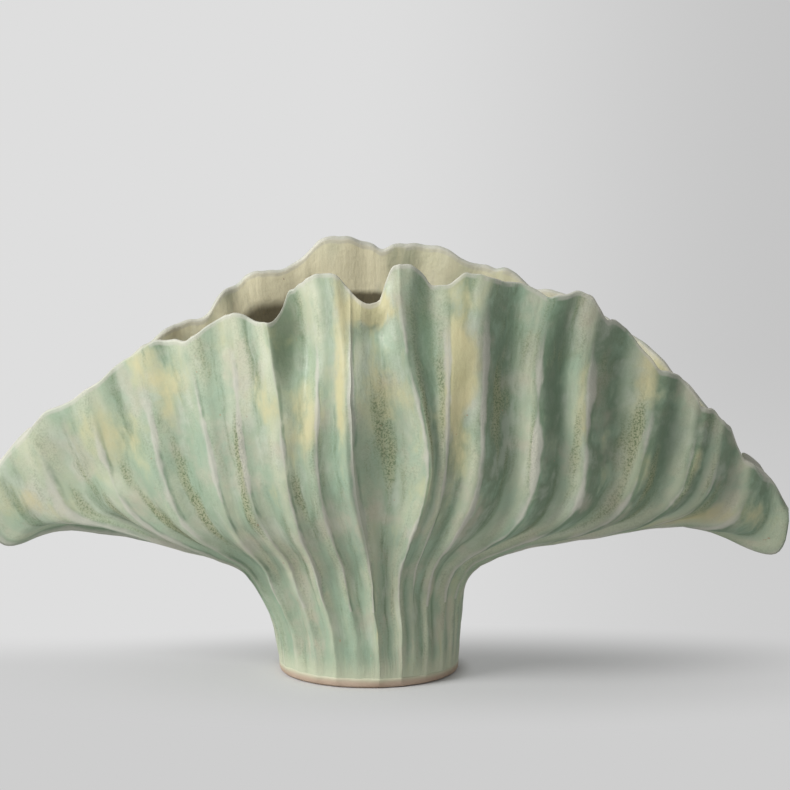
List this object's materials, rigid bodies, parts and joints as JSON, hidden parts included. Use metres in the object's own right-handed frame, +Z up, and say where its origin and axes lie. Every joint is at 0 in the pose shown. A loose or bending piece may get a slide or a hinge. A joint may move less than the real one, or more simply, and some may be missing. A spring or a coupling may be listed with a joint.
{
  "type": "fan vase",
  "caption": "Wide ceramic vase: a round fluted stem opens into a pleated fan with a long wavy mouth for flowers.",
  "frame": {"origin": "middle of the foot's underside, where the vase stands", "axes": "+X along the fan to the right seen from the front, -Y to the front, +Z up"},
  "size_m": [0.492, 0.158, 0.2625],
  "materials": {
    "glaze": "satin celadon glaze, pale on the crests, darker green in the grooves, cream patches",
    "bare_clay": "bare fired stoneware, pinkish tan, matt"
  },
  "bodies": {
    "root": {"floor_slab": "bare_clay", "stem_collar": "glaze", "front_left_slab": "glaze", "front_right_slab": "glaze", "back_left_slab": "glaze", "back_right_slab": "glaze", "left_keel": "glaze", "right_keel": "glaze"}
  },
  "joints": []
}
